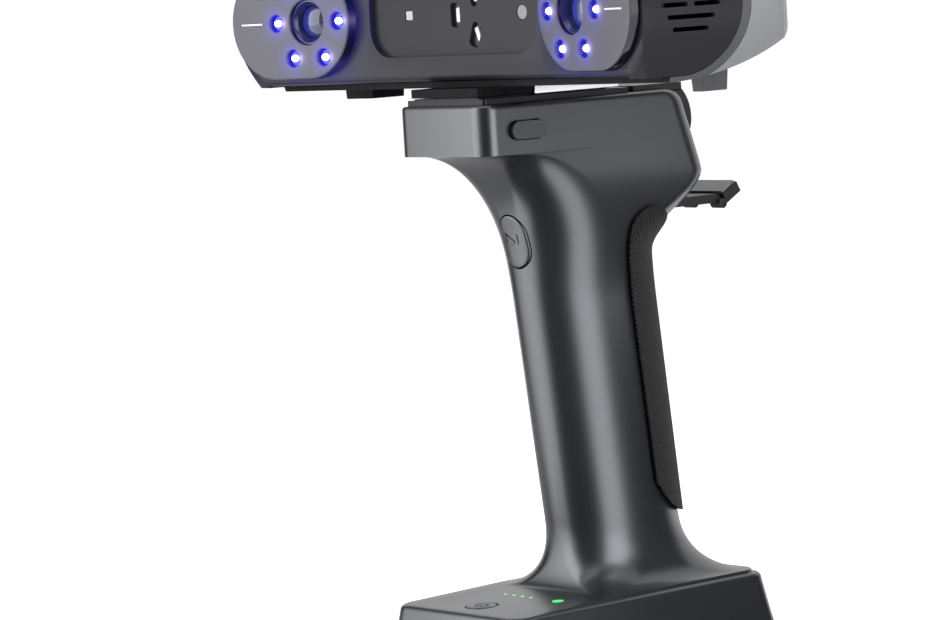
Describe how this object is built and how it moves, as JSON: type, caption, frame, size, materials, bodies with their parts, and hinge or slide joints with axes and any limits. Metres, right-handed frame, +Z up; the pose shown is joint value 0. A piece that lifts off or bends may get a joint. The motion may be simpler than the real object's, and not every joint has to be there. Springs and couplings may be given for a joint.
{
  "type": "handheld scanner",
  "caption": "Handheld 3-D scanner: a wide bar of cameras and lamps that lifts off a pistol grip with a trigger, a flat base and a spring phone clamp.",
  "frame": {"origin": "centre of the base's underside, at the mouth of the tripod socket", "axes": "+Z up, -Y the way the scanner looks, +X along the scanner to its left end as the user holds it"},
  "size_m": [0.215, 0.1341, 0.2528],
  "materials": {
    "satin_plastic": "satin dark grey moulded plastic",
    "black_plastic": "black moulded plastic with a fine grain",
    "switch_plastic": "plain black plastic",
    "face_plastic": "black plastic with a soft gloss",
    "panel_plastic": "dark glossy plastic",
    "window_plastic": "smoked grey plastic with a soft gloss",
    "silver_paint": "fine silver-grey metallic paint",
    "grey_trim": "mid grey plastic",
    "rubber": "black rubber with a fine cross-cut texture",
    "bright_steel": "bright steel",
    "alloy": "plain aluminium plate",
    "brass": "turned brass",
    "board": "green circuit board",
    "cell_wrap": "blue shrink wrap",
    "green_light": "green light guide",
    "lens_glass": "coated lens glass",
    "lamp_glass": "clear lamp lens, lit blue-white",
    "flash_plastic": "white diffuser",
    "camera_cover": "light grey cover"
  },
  "bodies": {
    "handle": {"handle_shell": "satin_plastic", "grip_pad": "rubber", "base_cover": "black_plastic", "base_screws": "bright_steel", "base_pad": "rubber", "tripod_insert": "brass", "control_board": "board", "power_switch": "switch_plastic", "charge_lights": "green_light", "status_light": "green_light", "charge_port": "bright_steel", "battery_sled": "black_plastic", "battery_cells": "cell_wrap", "trigger_board": "board", "trigger_switch": "switch_plastic", "socket_plate": "black_plastic", "contact_block": "black_plastic", "latch_spring": "bright_steel", "clamp_housing": "black_plastic", "lower_jaw": "black_plastic", "lower_jaw_pad": "grey_trim", "return_springs": "bright_steel"},
    "trigger": {"trigger_button": "satin_plastic"},
    "power": {"power_button": "satin_plastic"},
    "release": {"release_button": "satin_plastic", "latch_plate": "bright_steel"},
    "jaw": {"upper_jaw": "black_plastic", "upper_jaw_pad": "rubber", "guide_rods": "bright_steel"},
    "scanner": {"front_shell": "face_plastic", "rear_shell": "silver_paint", "left_trim": "grey_trim", "right_trim": "grey_trim", "left_foot": "grey_trim", "right_foot": "grey_trim", "shoe_block": "black_plastic", "metal_rail": "bright_steel", "shoe_screws": "bright_steel", "left_window": "window_plastic", "right_window": "window_plastic", "left_barrel": "panel_plastic", "right_barrel": "panel_plastic", "left_lens": "lens_glass", "right_lens": "lens_glass", "left_lamps": "lamp_glass", "right_lamps": "lamp_glass", "left_lamp_board": "board", "right_lamp_board": "board", "left_camera_board": "board", "right_camera_board": "board", "centre_panel": "panel_plastic", "projectors": "switch_plastic", "projector_lenses": "lens_glass", "flash_module": "flash_plastic", "colour_camera": "camera_cover", "chassis": "alloy", "chassis_screws": "bright_steel", "scanner_board": "board", "data_port": "bright_steel"}
  },
  "joints": [
    {"name": "trigger_press", "type": "slide", "parent": "handle", "child": "trigger", "axis": [0, 1, 0], "range_m": [0, 0.0012], "stiffness_N_per_m": 800, "springref_m": -0.0005},
    {"name": "power_press", "type": "slide", "parent": "handle", "child": "power", "axis": [0, 0, -1], "range_m": [0, 0.0006], "stiffness_N_per_m": 1500, "springref_m": -0.0005},
    {"name": "release_press", "type": "slide", "parent": "handle", "child": "release", "axis": [-1, 0, 0], "range_m": [0, 0.0015], "stiffness_N_per_m": 600, "springref_m": -0.001, "deforming": ["latch_spring"]},
    {"name": "jaw_slide", "type": "slide", "parent": "handle", "child": "jaw", "axis": [0, 0, 1], "range_m": [0, 0.06], "stiffness_N_per_m": 120, "springref_m": -0.03, "deforming": ["return_springs"]},
    {"name": "scanner_lift", "type": "slide", "parent": "handle", "child": "scanner", "axis": [0, 0, 1], "range_m": [0, 0.03]}
  ]
}
